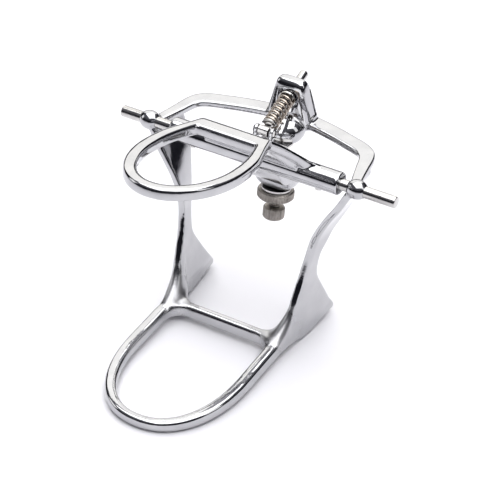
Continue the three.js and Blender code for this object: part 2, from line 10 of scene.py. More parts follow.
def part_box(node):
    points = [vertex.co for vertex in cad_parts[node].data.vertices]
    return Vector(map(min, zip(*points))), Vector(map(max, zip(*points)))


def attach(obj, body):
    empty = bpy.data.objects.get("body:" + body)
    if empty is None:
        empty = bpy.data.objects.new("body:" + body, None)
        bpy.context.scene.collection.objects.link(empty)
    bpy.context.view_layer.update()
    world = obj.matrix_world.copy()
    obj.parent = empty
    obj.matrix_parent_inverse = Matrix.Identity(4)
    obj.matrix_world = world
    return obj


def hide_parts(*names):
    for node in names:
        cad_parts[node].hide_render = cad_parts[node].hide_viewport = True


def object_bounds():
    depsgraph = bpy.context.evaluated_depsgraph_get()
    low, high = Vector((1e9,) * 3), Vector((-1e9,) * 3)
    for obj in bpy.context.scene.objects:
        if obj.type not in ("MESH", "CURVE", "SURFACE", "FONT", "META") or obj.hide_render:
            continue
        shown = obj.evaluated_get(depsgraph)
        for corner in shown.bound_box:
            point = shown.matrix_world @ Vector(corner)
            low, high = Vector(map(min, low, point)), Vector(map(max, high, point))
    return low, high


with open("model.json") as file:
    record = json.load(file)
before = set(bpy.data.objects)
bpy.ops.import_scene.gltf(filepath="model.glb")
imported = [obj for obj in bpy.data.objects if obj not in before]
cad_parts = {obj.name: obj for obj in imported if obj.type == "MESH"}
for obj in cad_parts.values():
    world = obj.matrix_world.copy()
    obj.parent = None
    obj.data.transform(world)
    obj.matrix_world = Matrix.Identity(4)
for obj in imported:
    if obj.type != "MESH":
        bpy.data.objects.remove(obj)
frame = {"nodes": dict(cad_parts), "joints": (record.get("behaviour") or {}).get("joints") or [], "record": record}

cad_low, cad_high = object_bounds()

# ---------------------------------------------------------------- places, from the frame
MM = 0.001


def middle(node):
    low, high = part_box(node)
    return (low + high) / 2


def joint(name):
    return next(j for j in frame["joints"] if j["name"] == name)


def coupling(name):
    return next(c["ratio"] for c in frame["record"]["behaviour"]["couplings"] if c["joint"] == name)


SCREW_AXIS = Vector(joint("screw_travel")["axis"])
OPEN = math.atan2(SCREW_AXIS.y, SCREW_AXIS.z)
AXLE = middle("axle_rod")
SHRINK = Matrix.Scale(MM, 4)
LOWER = Matrix.Translation((middle("lower_ring").x, AXLE.y, 0)) @ SHRINK
UPPER = Matrix.Translation(AXLE) @ Matrix.Rotation(-OPEN, 4, "X") @ SHRINK

AXLE_Z = AXLE.z / MM             # axle above the table, mm
SIDE = (AXLE.x - middle("lower_ring").x) / MM
EYE = Vector((0, 33.5, AXLE_Z + 12.05))      # centre of the hub's eye, lower frame
YAW = LOWER.inverted() @ Vector(joint("pin_yaw")["pos_m"])
CROSS = LOWER.inverted() @ Vector(joint("pin_pitch")["pos_m"])
PITCH = math.atan2(EYE.z - CROSS.z, EYE.y - CROSS.y)
REACH = (EYE - YAW).length
SWING = math.asin(YAW.x / REACH)
PIN = (LOWER @ Matrix.Translation(YAW) @ Matrix.Rotation(PITCH, 4, "X")
       @ Matrix.Rotation(SWING, 4, "Z"))

# Lower member.
BOSS_X = 49.4                    # axle bosses on the uprights
HUB_FACE = 4.6                   # spring face ahead of the eye's centre
EYE_CUT, SPRING_CUT = 2.45, 4.2  # radii swept out of the hub for the guide pin and its spring

# Axle and upper member.
AXLE_RADIUS = 2.5
BORE_RADIUS = 2.6
BARREL = 40.0                    # half length
BARREL_RADIUS = 4.9
PIVOT_Y, PIVOT_Z = 5.5, 9        # cross pin, from the axle
PIVOT_HOLE, PIVOT_SEAT = 1.15, 1.75
SCREW_BLOCK_X, SCREW_BLOCK_Y = 9.3, 6.6      # half width and half depth of the screw boss

# Height screw, knob and lock nut.
SCREW_Y = 21.3                   # screw axis behind the axle
SCREW_RADIUS = 2.5
SCREW_HOLE = 2.62
SCREW_NECK = 1.9                 # plain end inside the knob
THREAD_PITCH, THREAD_DEPTH = 0.8, 0.42

# Guide pin and return spring.
PIN_RADIUS = 2.0
PIN_LENGTH = 35
FORK_GAP = 1.05                  # half the fork's slot
COIL_TURNS, COIL_WIRE, COIL_RADIUS = 7.0, 0.56, 2.95

VOXEL = 0.38                     # remesh size for the lower casting
LONG_CUT = 60                    # half length of a cutter that passes right through


# ---------------------------------------------------------------- mesh helpers
def smooth_table(rows, count):
    """Catmull-Rom through rows of numbers, evenly in row index."""
    rows = np.array(rows, float)
    padded = np.vstack([2 * rows[0] - rows[1], rows, 2 * rows[-1] - rows[-2]])
    out = []
    for u in np.linspace(0, len(rows) - 1, count):
        i = min(int(u), len(rows) - 2)
        t = u - i
        a, b, c, d = padded[i:i + 4]
        out.append(0.5 * (2 * b + (c - a) * t + (2 * a - 5 * b + 4 * c - d) * t ** 2
                          + (3 * b - a - 3 * c + d) * t ** 3))
    return np.array(out)


def skin(rings, closed=False):
    """Vertices and faces of a skin over equal-length rings of points."""
    count = len(rings[0])
    vertices = [tuple(p) for ring in rings for p in ring]
    faces = []
    bands = len(rings) if closed else len(rings) - 1
    for i in range(bands):
        near, far = i * count, (i + 1) % len(rings) * count
        for j in range(count):
            k = (j + 1) % count
            faces.append((near + j, near + k, far + k, far + j))
    if not closed:
        faces.append(tuple(reversed(range(count))))
        faces.append(tuple(range((len(rings) - 1) * count, len(rings) * count)))
    return vertices, faces


def add_piece(name, parts, matrix=Matrix.Identity(4)):
    """Joins (vertices, faces) parts into one object with outward normals."""
    vertices, faces = [], []
    for part_vertices, part_faces in parts:
        start = len(vertices)
        vertices += part_vertices
        faces += [tuple(start + i for i in face) for face in part_faces]
    mesh = bpy.data.meshes.new(name)
    mesh.from_pydata(vertices, [], faces)
    bm = bmesh.new()
    bm.from_mesh(mesh)
    bmesh.ops.recalc_face_normals(bm, faces=bm.faces)
    bm.to_mesh(mesh)
    bm.free()
    mesh.transform(matrix)
    piece = bpy.data.objects.new(name, mesh)
    bpy.context.scene.collection.objects.link(piece)
    return piece


def bake_modifiers(piece):
    graph = bpy.context.evaluated_depsgraph_get()
    mesh = bpy.data.meshes.new_from_object(piece.evaluated_get(graph))
    old = piece.data
    piece.modifiers.clear()
    piece.data = mesh
    bpy.data.meshes.remove(old)


def melt(piece, voxel=VOXEL, passes=16):
    """Fuses overlapping shells into one skin and softens its edges, like a polished casting."""
    remesh = piece.modifiers.new("fuse", "REMESH")
    remesh.mode = "VOXEL"
    remesh.voxel_size = voxel
    soften = piece.modifiers.new("soften", "SMOOTH")
    soften.factor = 0.5
    soften.iterations = passes
    bake_modifiers(piece)


def soften_near(piece, centres, reach, passes):
    """Blends the corners round a few points into large fillets."""
    group = piece.vertex_groups.new(name="blend")
    for vertex in piece.data.vertices:
        nearest = min((vertex.co - centre).length for centre in centres)
        if nearest < reach:
            group.add([vertex.index], min(1, 2 * (1 - nearest / reach)), "REPLACE")
    soften = piece.modifiers.new("blend", "SMOOTH")
    soften.vertex_group = group.name
    soften.factor = 0.5
    soften.iterations = passes
    bake_modifiers(piece)


def carve(piece, cutter):
    cut = piece.modifiers.new("cut", "BOOLEAN")
    cut.operation = "DIFFERENCE"
    cut.object = cutter
    cut.solver = "EXACT"
    bake_modifiers(piece)
    bpy.data.objects.remove(cutter)


def shade(piece, angle=35):
    for polygon in piece.data.polygons:
        polygon.use_smooth = True
    piece.data.set_sharp_from_angle(angle=math.radians(angle))


# ---------------------------------------------------------------- shapes, in millimetres
def rounded(t, power):
    """Superellipse point for an angle, from -1 to 1 each way."""
    c, s = math.cos(t), math.sin(t)
    return (math.copysign(abs(c) ** (2 / power), c), math.copysign(abs(s) ** (2 / power), s))


def turned(profile, start, direction, segments=72):
    """Solid of revolution; profile is (distance along, radius), with ends on the axis."""
    direction = Vector(direction).normalized()
    turn = Vector((0, 0, 1)).rotation_difference(direction).to_matrix()
    rings = []
    for along, radius in profile:
        ring = []
        for i in range(segments):
            angle = 2 * math.pi * i / segments
            p = turn @ Vector((radius * math.cos(angle), radius * math.sin(angle), along))
            ring.append(Vector(start) + p)
        rings.append(ring)
    return skin(rings)


def cylinder(a, b, radius, end_radius=None, segments=48):
    a, b = Vector(a), Vector(b)
    last = radius if end_radius is None else end_radius
    return turned([(0, radius), ((b - a).length, last)], a, b - a, segments)


def edged_cylinder(a, b, radius, edge=0.5, segments=72):
    """Cylinder with a rounded edge at both ends."""
    a, b = Vector(a), Vector(b)
    length = (b - a).length
    arc = [(edge * (1 - math.cos(u)), radius - edge * (1 - math.sin(u)))
           for u in np.linspace(0, math.pi / 2, 6)]
    profile = [(0, 0.01)] + arc + [(length - along, r) for along, r in reversed(arc)] + [(length, 0.01)]
    return turned(profile, a, b - a, segments)


def ball(centre, radii, wide=64, high=40):
    rings = []
    for j in range(high + 1):
        polar = math.pi * (j + 0.02) / (high + 0.04)
        rings.append([
            Vector((centre[0] + radii[0] * math.sin(polar) * math.cos(2 * math.pi * i / wide),
                    centre[1] + radii[1] * math.sin(polar) * math.sin(2 * math.pi * i / wide),
                    centre[2] + radii[2] * math.cos(polar)))
            for i in range(wide)
        ])
    return skin(rings)


def band(outer, inner, low, high, power, closed=True, sides=28):
    """Loop of rounded section between an outer and an inner outline, with heights from y."""
    rings = []
    for (ox, oy), (ix, iy) in zip(outer, inner):
        ring = []
        for k in range(sides):
            across, up = rounded(2 * math.pi * k / sides, power)
            t = 0.5 - 0.5 * across
            x, y = ox + (ix - ox) * t, oy + (iy - oy) * t
            ring.append(Vector((x, y, (low(y) + high(y)) / 2 + up * (high(y) - low(y)) / 2)))
        rings.append(ring)
    return skin(rings, closed)


# ---------------------------------------------------------------- lower member
def lower_outline(half, front, rear, corner):
    """Outline with a round front, straight sides and two round rear corners."""
    centre_y, power = -50, 2.2
    points = []
    for angle in np.linspace(0, math.pi, 120):
        across, up = rounded(angle, power)
        points.append((half * across, centre_y - front * abs(up)))
    for side in (-1, 1):
        turns = np.linspace(0, math.pi / 2, 16)
        for angle in (turns if side < 0 else reversed(turns)):
            x = side * (half - corner + corner * math.cos(angle))
            points.append((x, rear - corner + corner * math.sin(angle)))
    return points


def lower_loop():
    """Loop that the lower cast stands on; its top and underside rise gently to the rear."""
    outer = lower_outline(half=29.6, front=42.6, rear=-19.8, corner=6)
    inner = lower_outline(half=23.9, front=38.2, rear=-24.4, corner=8)
    top = lambda y: AXLE_Z - 72.4 + 0.05 * (y + 60)
    under = lambda y: max(-0.35 + 0.03 * (y + 92), 0)
    return band(outer, inner, under, top, power=3.0)


# Height, front edge, rear edge, outer face at the front and at the rear, thickness.
UPRIGHT = [
    (6.5, -24.0, 13.9, 30.0, 32.4, 4.4), (9.5, -22.0, 11.5, 30.1, 32.5, 4.8),
    (15, -17.8, 8.3, 30.1, 32.5, 4.0), (21, -14.8, 4.8, 30.4, 32.6, 3.7),
    (27, -12.1, 1.4, 30.9, 32.6, 3.6), (31, -10.2, 0.0, 31.3, 32.6, 3.6),
    (36, -8.3, 0.1, 31.9, 32.9, 3.6), (41, -6.6, 1.4, 32.6, 33.6, 3.6),
    (46, -5.6, 4.0, 33.4, 35.1, 3.6), (51, -5.1, 6.6, 34.7, 36.5, 3.6),
    (57, -4.7, 10.8, 37.4, 39.2, 3.6), (63, -4.6, 14.6, 40.8, 41.8, 3.6),
    (69, -4.2, 16.6, 44.6, 44.4, 3.6), (77, -3.4, 17.2, 48.8, 47.2, 3.5),
]
# Rear edge of the fin's lowest part: share of the way up from the foot, and y.
FIN_REAR = [(0, 14.9), (0.2, 15.7), (0.5, 15.3), (1, 13.9)]


def foot_level(y):
    """Underside of the fin: flat foot, short facet to the front, long rise to the tip."""
    return float(np.interp(y, [-9.8, -6.4, -2.2, 16.4], [3, 0, 0, 2.5]))


def plate_ring(front, rear, out_front, out_rear, thick, height):
    """Plate section with a round front edge and a round rear edge."""
    half, corner = thick / 2, 1.1
    length = rear - front

    def at(y, depth):
        t = (y - front) / length
        out = out_front + (out_rear - out_front) * t
        return Vector((out - half + depth, y, height(y)))

    ring = []
    for angle in np.linspace(0, math.pi, 11):
        ring.append(at(front + corner * (1 - math.sqrt(math.sin(angle))), half * math.cos(angle)))
    for y in np.linspace(front + corner, rear - corner, 14)[1:-1]:
        ring.append(at(y, -half))
    for angle in np.linspace(0, math.pi, 11):
        ring.append(at(rear - corner * (1 - math.sqrt(math.sin(angle))), -half * math.cos(angle)))
    for y in np.linspace(rear - corner, front + corner, 14)[1:-1]:
        ring.append(at(y, half))
    return ring


def upright(side):
    """Leaning plate from the fin's foot to the axle boss."""
    base = UPRIGHT[0]
    rings = []
    for share in np.linspace(0, 1, 9)[:-1]:
        rear = float(np.interp(share, *zip(*FIN_REAR)))
        level = lambda y, k=share: foot_level(y) + (base[0] - foot_level(y)) * k
        rings.append(plate_ring(-25.2 + 1.2 * share, rear, 29.9, 32.4, 4.2, level))
    for row in smooth_table(UPRIGHT, 70):
        height, front, rear, out_front, out_rear, thick = row
        rings.append(plate_ring(front, rear, out_front, out_rear, thick, lambda y, z=height: z))
    return skin([[Vector((side * p.x, p.y, p.z)) for p in ring] for ring in rings])


# Height, inner reach, front, rear and outer face of the flare from a ring corner up the upright.
FLARE = [
    (7.2, 21.2, -28.4, -12.2, 29.9), (8.7, 21.6, -27.8, -12.0, 29.9), (9.6, 22.5, -26.2, -11.8, 29.9),
    (10.8, 23.3, -24.2, -11.4, 30.0), (12.6, 24.2, -21.7, -11.0, 30.0), (15, 25.1, -18.9, -10.4, 30.1),
    (18, 26.0, -16.3, -9.6, 30.2), (23, 27.2, -13.3, -8.2, 30.4), (29, 28.3, -10.0, -6.8, 30.8),
]


def corner_flare(side):
    """Oval column that widens from the front of an upright down into the ring's corner."""
    rings = []
    for z, inner, front, rear, outer in smooth_table(FLARE, 40):
        centre_x, centre_y = (inner + outer) / 2, (front + rear) / 2
        half_x, half_y = (outer - inner) / 2, (rear - front) / 2
        ring = []
        for k in range(32):
            across, along = rounded(2 * math.pi * k / 32, 2.2)
            ring.append(Vector((side * (centre_x + half_x * across), centre_y + half_y * along, z)))
        rings.append(ring)
    return skin(rings)


def corner_web(side):
    """Flat web that fills a rear corner between the crossbar and the fin, level with the ring."""
    curve = smooth_table([(15.5, -20.4), (18.6, -19.5), (21.2, -17.8), (23.2, -15.2), (24.7, -12.2),
                          (25.8, -9.2), (26.7, -6), (27.8, -2)], 24)
    outline = [tuple(p) for p in curve]
    outline += [(29.4, -2), (29.4, -26.5), (24.6, -28.2), (22.3, -27), (19.5, -24.7), (15.5, -23.6)]
    return skin([[Vector((side * x, y, z)) for x, y in outline] for z in (2.6, 8.55)])


def boss(side):
    return ball((side * BOSS_X, 0, AXLE_Z), (4.9, 4.2, 4.2))


# Half of the rear bow from a boss to the middle: x, y and half width.
BOW = [
    (47.4, 1.5, 2.4), (45.6, 8, 2.6), (43.8, 15, 3.0), (42.9, 19, 3.2), (41.9, 22, 3.4),
    (40.3, 24.5, 3.7), (38, 26.2, 3.8), (35, 27.5, 3.9), (31, 28.7, 3.9), (22, 31.3, 3.9),
    (11, 33.6, 3.9), (0, 34.6, 3.9),
]


def bow():
    half = smooth_table(BOW, 70)
    line = [tuple(p) for p in half] + [(-x, y, w) for x, y, w in reversed(half[:-1])]
    rings = []
    for i, (x, y, w) in enumerate(line):
        before, after = line[max(i - 1, 0)], line[min(i + 1, len(line) - 1)]
        along = Vector((after[0] - before[0], after[1] - before[1])).normalized()
        ring = []
        for k in range(28):
            across, up = rounded(2 * math.pi * k / 28, 4.5)
            z = AXLE_Z - 0.9 + 1.7 * up
            ring.append(Vector((x - along.y * w * across, y + along.x * w * across, z)))
        rings.append(ring)
    return skin(rings)


def hub():
    """Tapered tower on the bow and the rounded body under the spring."""
    levels = [(-3, 11.6, 29.6, 38.4), (2, 10.8, 29.3, 38.3), (9, 8.9, 29.4, 38),
              (15, 7.3, 29.8, 37.2), (17.6, 6.2, 30.8, 36), (18.6, 4.6, 32, 35)]
    rings = []
    for z, half, front, rear in smooth_table(levels, 36):
        ring = []
        for k in range(40):
            across, back = rounded(2 * math.pi * k / 40, 4)
            ring.append(Vector((half * across, (front + rear) / 2 + back * (rear - front) / 2, AXLE_Z + z)))
        rings.append(ring)
    return [skin(rings), ball((0, 28.3, AXLE_Z - 3.5), (8.6, 8.2, 6.6))]


def hub_pocket(side):
    """Shallow recess in a side of the hub, between its front and rear ribs."""
    rows = [(2.4, 9.9), (8, 8.4), (14.4, 6.7)]
    rings = []
    for z, inner in rows:
        rings.append([Vector((side * x, y, AXLE_Z + z))
                      for x, y in ((inner, 31.3), (inner + 4, 31.0), (inner + 4, 36.4), (inner, 36.1))])
    return skin(rings)


def eye_cutter():
    """Everything the guide pin and its spring sweep through in the hub, in every pose."""
    parts = []
    pitch_ratio, yaw_ratio = coupling("pin_pitch"), coupling("pin_yaw") * MM
    most = joint("opening")["range_deg"][1]
    slides = [s / MM for s in joint("side_slide")["range_m"]] + [0]
    offset = (CROSS - YAW).length
    from_axle = Vector((0, CROSS.y, CROSS.z - AXLE_Z))
    for degrees in np.linspace(0, most, 8):
        turn = math.radians(degrees)
        swung = Matrix.Rotation(-turn, 3, "X") @ from_axle
        pitch = PITCH + (pitch_ratio - 1) * turn
        for slide in slides:
            swing = SWING + yaw_ratio * slide
            ahead = Vector((0, math.cos(pitch), math.sin(pitch)))
            start = Vector((SIDE + slide, swung.y, swung.z + AXLE_Z)) + ahead * offset
            way = ahead * math.cos(swing)
            way.x = -math.sin(swing)
            parts.append(cylinder(start, start + way * (REACH + 14), EYE_CUT, segments=24))
            parts.append(cylinder(start, start + way * (REACH - HUB_FACE), SPRING_CUT, segments=32))
    cutter = add_piece("eye_cutter", parts)
    melt(cutter, voxel=0.35, passes=3)
    return cutter


# Points, mirrored left and right, round which a ring corner runs smoothly into its upright.
CORNER_BLEND = [(24.5, -20.5, 10), (25.6, -14.5, 10.5)]


def lower_member():
    parts = [lower_loop(), bow(), *hub()]
    for side in (-1, 1):
        parts += [upright(side), corner_flare(side), corner_web(side), boss(side)]
    piece = add_piece("lower_casting", parts)
    melt(piece)
    carve(piece, add_piece("pocket_cutter", [hub_pocket(-1), hub_pocket(1)]))
    soften_near(piece, [Vector((side * x, y, z)) for side in (-1, 1) for x, y, z in CORNER_BLEND], 12, 110)
    carve(piece, eye_cutter())
    bore = cylinder((-LONG_CUT, 0, AXLE_Z), (LONG_CUT, 0, AXLE_Z), BORE_RADIUS)
    carve(piece, add_piece("bore_cutter", [bore]))
    piece.data.transform(LOWER)
    shade(piece, 40)
    return piece


# ---------------------------------------------------------------- upper member
def upper_outlines():
    """Outer and inner outline of the upper loop, with sides that close in to the bridge."""
    side = [(23.2, -46), (22.3, -39), (20.4, -32.5), (18.4, -26.5), (16.8, -21), (15.9, -18)]
    inner_side = [(17.6, -46), (16.9, -40), (15.6, -34), (14.2, -29), (13.4, -27), (13.2, -26.8)]
    outer, inner = [], []
    for angle in np.linspace(0, math.pi, 110):
        outer.append((23.4 * math.cos(angle), -52 - 34 * math.sin(angle)))
        inner.append((17.7 * math.cos(angle), -52 - 28.3 * math.sin(angle)))
    steps = 30
    left_out = smooth_table([(-x, y) for x, y in side], steps)
    left_in = smooth_table([(-x, y) for x, y in inner_side], steps)
    outer += [tuple(p) for p in left_out] + [(-x, y) for x, y in reversed(left_out)]
    inner += [tuple(p) for p in left_in] + [(-x, y) for x, y in reversed(left_in)]
    return outer, inner


RING_TOP, RING_UNDER = 19.45, 14.05


def slab(rows):
    """Loft of flat four-sided sections: y, underside, top, half width."""
    return skin([[Vector((-h, y, low)), Vector((h, y, low)), Vector((h, y, top)), Vector((-h, y, top))]
                 for y, low, top, h in rows])


def edge_rib(side):
    """Rib along a side of the recessed bridge: rows of x, y, z and radius."""
    rows = [(14.6, -19.6, 16.6, 2.5), (17.2, -14, 13.5, 2.4), (20.6, -8.0, 9.3, 2.3),
            (25.0, -2.6, 4.6, 2.6), (31, -0.6, 1.6, 3.0)]
    rings = []
    for x, y, z, r in smooth_table(rows, 26):
        rings.append([Vector((side * (x + r * 0.7 * math.cos(a)), y, z + r * math.sin(a)))
                      for a in np.linspace(0, 2 * math.pi, 20, endpoint=False)])
    return skin(rings)


def lug(side):
    """Lug with a ball top that holds one end of the cross pin."""
    neck = cylinder((side * 3.4, 3.0, 3.2), (side * 3.5, 5.4, 8.6), 1.7, 1.3)
    return [neck, ball((side * 3.7, PIVOT_Y, PIVOT_Z), (1.6, 2.4, 2.4))]


def screw_neck():
    """Neck from the barrel's rear down to the screw boss: rows of y, top, thickness, half width."""
    rows = [(1.5, -3.4, 1.6, 9.2), (5.5, -6.4, 3.2, 9.1), (10, -9.5, 5, 9), (14, -10.5, 6, 8.9),
            (SCREW_Y, -10.5, 6, 8.8)]
    return slab([(y, top - thick, top, half) for y, top, thick, half in smooth_table(rows, 24)])


def screw_block():
    """Boss for the height screw, drawn in at its rounded bottom: rows of z and inset."""
    rows = [(-21.8, 3.0), (-20.9, 1.6), (-19.6, 0.6), (-17.6, 0), (-10.6, 0), (-9.4, 0.9)]
    rings = []
    for z, inset in smooth_table(rows, 24):
        ring = []
        for k in range(48):
            across, back = rounded(2 * math.pi * k / 48, 3)
            ring.append(Vector(((SCREW_BLOCK_X - inset) * across,
                                SCREW_Y + (SCREW_BLOCK_Y - inset) * back, z)))
        rings.append(ring)
    return skin(rings)


def upper_member():
    outer, inner = upper_outlines()
    parts = [band(outer, inner, lambda y: RING_UNDER, lambda y: RING_TOP, 3.4)]
    parts.append(slab([(-21.5, 15.2, 18.4, 14.2), (-17.5, 12.4, 15.8, 15.2), (-8, 4.4, 8.2, 20.1),
                       (0, -1.4, 3.2, 24)]))
    for side in (-1, 1):
        parts += [edge_rib(side), *lug(side)]
    parts.append(edged_cylinder((-BARREL, 0, 0), (BARREL, 0, 0), BARREL_RADIUS, 0.8))
    parts += [screw_neck(), screw_block()]
    piece = add_piece("upper_casting", parts)
    melt(piece, voxel=0.36, passes=12)
    holes = add_piece("hole_cutter", [
        cylinder((-LONG_CUT, 0, 0), (LONG_CUT, 0, 0), BORE_RADIUS),
        cylinder((0, SCREW_Y, -30), (0, SCREW_Y, 2), SCREW_HOLE),
        cylinder((-7, PIVOT_Y, PIVOT_Z), (7, PIVOT_Y, PIVOT_Z), PIVOT_HOLE, segments=32),
    ])
    pin_seats = add_piece("seat_cutter", [
        cylinder((side * 4.0, PIVOT_Y, PIVOT_Z), (side * 8, PIVOT_Y, PIVOT_Z), PIVOT_SEAT, segments=32)
        for side in (-1, 1)])
    carve(piece, holes)
    carve(piece, pin_seats)
    piece.data.transform(UPPER)
    shade(piece, 40)
    return piece


# ---------------------------------------------------------------- turned and knurled pieces
def knurled(name, radius, low, high, teeth, depth, bore):
    """Straight-knurled knob on the screw's axis, with a plain chamfer at both ends."""
    segments = teeth * 8
    edge = 0.75
    profile = [(low, bore, 0), (low, radius - edge - 0.35, 0), (low + 0.12, radius - edge, 0),
               (low + edge, radius - 0.05, 0.55), (low + edge + 0.35, radius, 1),
               (high - edge - 0.35, radius, 1), (high - edge, radius - 0.05, 0.55),
               (high - 0.12, radius - edge, 0), (high, radius - edge - 0.35, 0), (high, bore, 0)]
    rings = []
    for z, r, share in profile:
        ring = []
        for i in range(segments):
            angle = 2 * math.pi * i / segments
            phase = abs((i / 8) % 1 - 0.5) * 2
            reach = r - depth * share * (1 - phase) ** 0.8
            ring.append(Vector((reach * math.cos(angle), SCREW_Y + reach * math.sin(angle), z)))
        rings.append(ring)
    piece = add_piece(name, [skin(rings, closed=True)], UPPER)
    shade(piece, 28)
    return piece


def screw_ring(z, reach, segments=72):
    """Ring of points round the screw's axis; reach gives the radius for each point's number."""
    turns = [2 * math.pi * i / segments for i in range(segments)]
    return [Vector((reach(i) * math.cos(a), SCREW_Y + reach(i) * math.sin(a), z))
            for i, a in enumerate(turns)]


def threaded_screw():
    """M5 screw with a real helical thread, plain at its tip and under the knob."""
    segments = 72
    low, high, knob_end = -31.1, -2.9, -36.5
    plain_top = high - 1.2
    plain = lambda z, radius: screw_ring(z, lambda i: radius, segments)
    rings = [plain(knob_end, 0.01), plain(knob_end, SCREW_NECK), plain(low, SCREW_NECK)]
    for z in np.arange(low, plain_top, THREAD_PITCH / 16):
        fade = max(min(1, (z - low) / THREAD_PITCH, (plain_top - z) / THREAD_PITCH), 0.05)

        def reach(i, z=z, fade=fade):
            groove = 1 - abs((z / THREAD_PITCH - i / segments) % 1 - 0.5) * 2
            return SCREW_RADIUS - THREAD_DEPTH * fade * min(1, groove * 1.25)

        rings.append(screw_ring(z, reach, segments))
    for z, radius in ((plain_top + 0.1, 2.2), (high - 0.4, 1.7), (high - 0.1, 1.3), (high, 0.7),
                      (high, 0.01)):
        rings.append(plain(z, radius))
    piece = add_piece("height_screw_thread", [skin(rings)], UPPER)
    shade(piece, 40)
    return piece


def coil_spring():
    """Return spring round the guide pin, closed at both ends."""
    start, end = 0.2, REACH - 6.0
    closing, slow = 0.10, 0.35   # share of the turns that lie close together, and their pitch

    def share(t):
        if t < closing:
            return t * slow
        if t > 1 - closing:
            return 1 - (1 - t) * slow
        return slow * closing + (t - closing) * (1 - 2 * slow * closing) / (1 - 2 * closing)

    rings = []
    steps = int(COIL_TURNS * 40)
    for i in range(steps + 1):
        t = i / steps
        angle = 2 * math.pi * COIL_TURNS * t
        y = start + COIL_WIRE + (end - start - 2 * COIL_WIRE) * share(t)
        ring = []
        for k in range(14):
            a = 2 * math.pi * k / 14
            r = COIL_RADIUS + COIL_WIRE * math.cos(a)
            ring.append(Vector((r * math.cos(angle), y + COIL_WIRE * math.sin(a), r * math.sin(angle))))
        rings.append(ring)
    piece = add_piece("spring_coil", [skin(rings)], PIN)
    shade(piece, 60)
    return piece


def guide_rod():
    """Guide pin: fork at the yaw pin, flange, long shaft with a chamfered tip."""
    tip = PIN_LENGTH + 1.3
    shaft = turned([(0, 0.01), (0, 1.7), (0.3, PIN_RADIUS), (PIN_LENGTH + 0.5, PIN_RADIUS),
                    (PIN_LENGTH + 1.1, 1.75), (tip, 1.3), (tip, 0.01)], (0, -1.3, 0), (0, 1, 0))
    flange = turned([(0, 0.01), (0, 3.3), (0.2, 3.55), (0.7, 3.55), (0.9, 3.3), (0.9, 0.01)],
                    (0, -1, 0), (0, 1, 0))
    piece = add_piece("guide_rod", [shaft, flange])
    melt(piece, voxel=0.16, passes=3)
    slot = add_piece("fork_cutter", [slab([(y, -FORK_GAP, FORK_GAP, 5) for y in (-3, 2.4)])])
    carve(piece, slot)
    piece.data.transform(PIN)
    shade(piece, 35)
    return piece


# ---------------------------------------------------------------- materials
def new_material(name, color, roughness, metallic=1.0):
    material = bpy.data.materials.new(name)
    material.use_nodes = True
    shader = material.node_tree.nodes["Principled BSDF"]
    shader.inputs["Base Color"].default_value = (*color, 1)
    shader.inputs["Metallic"].default_value = metallic
    shader.inputs["Roughness"].default_value = roughness
    return material, shader


def noise(tree, coordinates, scale, detail=3.0, stretch=(1, 1, 1)):
    mapping = tree.nodes.new("ShaderNodeMapping")
    mapping.inputs["Scale"].default_value = stretch
    texture = tree.nodes.new("ShaderNodeTexNoise")
    texture.inputs["Scale"].default_value = scale
    texture.inputs["Detail"].default_value = detail
    tree.links.new(coordinates, mapping.inputs["Vector"])
    tree.links.new(mapping.outputs["Vector"], texture.inputs["Vector"])
    return texture.outputs["Fac"]


def spread(tree, value, low, high, start=0.3, end=0.7):
    remap = tree.nodes.new("ShaderNodeMapRange")
    remap.inputs["From Min"].default_value = start
    remap.inputs["From Max"].default_value = end
    remap.inputs["To Min"].default_value = low
    remap.inputs["To Max"].default_value = high
    tree.links.new(value, remap.inputs["Value"])
    return remap.outputs["Result"]


def blend_colors(tree, value, first, second):
    ramp = tree.nodes.new("ShaderNodeValToRGB")
    ramp.color_ramp.elements[0].color = (*first, 1)
    ramp.color_ramp.elements[0].position = 0.32
    ramp.color_ramp.elements[1].color = (*second, 1)
    ramp.color_ramp.elements[1].position = 0.68
    tree.links.new(value, ramp.inputs["Fac"])
    return ramp.outputs["Color"]


def bump(tree, height, strength, distance, normal=None):
    node = tree.nodes.new("ShaderNodeBump")
    node.inputs["Strength"].default_value = strength
    node.inputs["Distance"].default_value = distance
    tree.links.new(height, node.inputs["Height"])
    if normal is not None:
        tree.links.new(normal, node.inputs["Normal"])
    return node.outputs["Normal"]


def dulled(tree, place, roughness, spots, reach, added):
    """Roughness raised round a few points, where a polishing wheel doesn't reach."""
    for spot in spots:
        away = tree.nodes.new("ShaderNodeVectorMath")
        away.operation = "DISTANCE"
        away.inputs[1].default_value = spot
        tree.links.new(place, away.inputs[0])
        total = tree.nodes.new("ShaderNodeMath")
        tree.links.new(spread(tree, away.outputs["Value"], added, 0, reach * 0.4, reach), total.inputs[0])
        tree.links.new(roughness, total.inputs[1])
        roughness = total.outputs["Value"]
    return roughness


def metal(name, light, dark, rough, wave, wave_depth, grain, grain_depth, stretch=(1, 1, 1), dull=()):
    """Metal with broad colour variation, smudged gloss, gentle waviness and fine grain."""
    material, shader = new_material(name, light, rough[0])
    tree = material.node_tree
    place = tree.nodes.new("ShaderNodeTexCoord").outputs["Object"]
    broad = noise(tree, place, wave)
    fine = noise(tree, place, grain, 4.0, stretch)
    smudge = noise(tree, place, wave * 3.1, 5.0)
    tree.links.new(blend_colors(tree, broad, dark, light), shader.inputs["Base Color"])
    roughness = dulled(tree, place, spread(tree, smudge, *rough), dull, 0.017, 0.24)
    tree.links.new(roughness, shader.inputs["Roughness"])
    waves = bump(tree, broad, 1.0, wave_depth)
    tree.links.new(bump(tree, fine, 1.0, grain_depth, waves), shader.inputs["Normal"])
    return material


